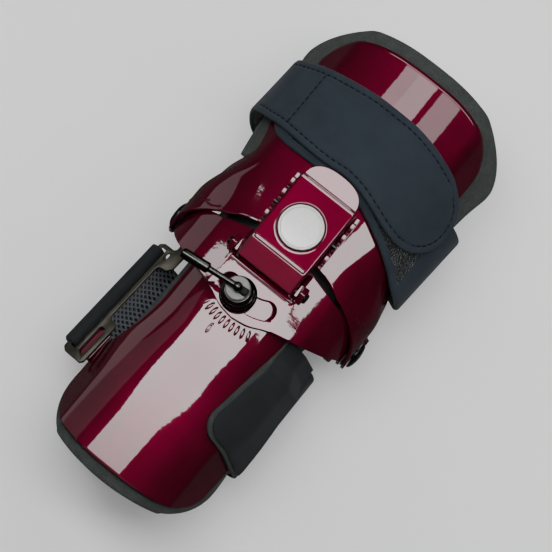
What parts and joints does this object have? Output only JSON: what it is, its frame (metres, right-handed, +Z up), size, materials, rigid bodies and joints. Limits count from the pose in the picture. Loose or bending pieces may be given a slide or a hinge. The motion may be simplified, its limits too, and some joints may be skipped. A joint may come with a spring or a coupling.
{
  "type": "bowling wrist support",
  "caption": "Rigid metal wrist support worn for bowling: hinged forearm, wrist and hand plates with foam liners, straps, a thumb latch and a swivel clamp.",
  "frame": {"origin": "middle of the overall box's underside, on the surface that the support lies on, below the wrist", "axes": "+Y along the forearm from the elbow to the fingers, +X to the right across the back of the hand, +Z up from the surface to the back of the hand"},
  "size_m": [0.1149, 0.242, 0.0875],
  "materials": {
    "red_metal": "translucent candy red over bright metal, glossy",
    "liner_foam": "soft dark grey closed-cell foam, matte",
    "forearm_webbing": "black brushed loop fabric, matte",
    "hand_webbing": "bluish black smooth and loop-pile fabric, stitched",
    "dark_steel": "dark brownish blackened steel, satin",
    "black_metal": "glossy black",
    "gunmetal": "dark polished gunmetal",
    "silver": "pale satin silver",
    "nylon": "matte black"
  },
  "bodies": {
    "forearm": {"forearm_plate": "red_metal", "forearm_foam": "liner_foam", "strap_bracket": "dark_steel", "forearm_pad": "forearm_webbing", "forearm_strap": "forearm_webbing", "swivel_pin": "black_metal", "clamp_stud": "dark_steel"},
    "wrist": {"wrist_plate": "red_metal", "side_rivet_right": "black_metal", "side_rivet_left": "black_metal", "side_washer_right": "nylon", "side_washer_left": "nylon", "ear_pad": "liner_foam", "latch_base": "red_metal", "hinge_pin": "black_metal", "hinge_nut_right": "red_metal", "hinge_nut_left": "red_metal"},
    "hand": {"hand_plate": "red_metal", "hand_foam": "liner_foam", "rack_right": "red_metal", "rack_left": "red_metal", "hand_strap": "hand_webbing"},
    "latch": {"latch_box": "red_metal", "emblem_disc": "silver", "latch_cross_pin": "black_metal"},
    "lever": {"clamp_hub": "gunmetal", "clamp_cap": "silver", "clamp_lever": "gunmetal"}
  },
  "joints": [
    {"name": "lateral_swivel", "type": "hinge", "parent": "forearm", "child": "wrist", "pos_m": [0, 0.0002, 0], "axis": [0, 0, 1], "range_deg": [-8, 8]},
    {"name": "cup_hinge", "type": "hinge", "parent": "wrist", "child": "hand", "pos_m": [0, -0.0026, 0.034], "axis": [-1, 0, 0], "range_deg": [0, 26]},
    {"name": "latch_hinge", "type": "hinge", "parent": "wrist", "child": "latch", "pos_m": [0, -0.005, 0.077], "axis": [1, 0, 0], "range_deg": [0, 60]},
    {"name": "clamp_turn", "type": "hinge", "parent": "forearm", "child": "lever", "pos_m": [-0.0038, -0.0209, 0.07], "axis": [-0.059, 0, 0.9983], "range_deg": [0, 100]}
  ]
}
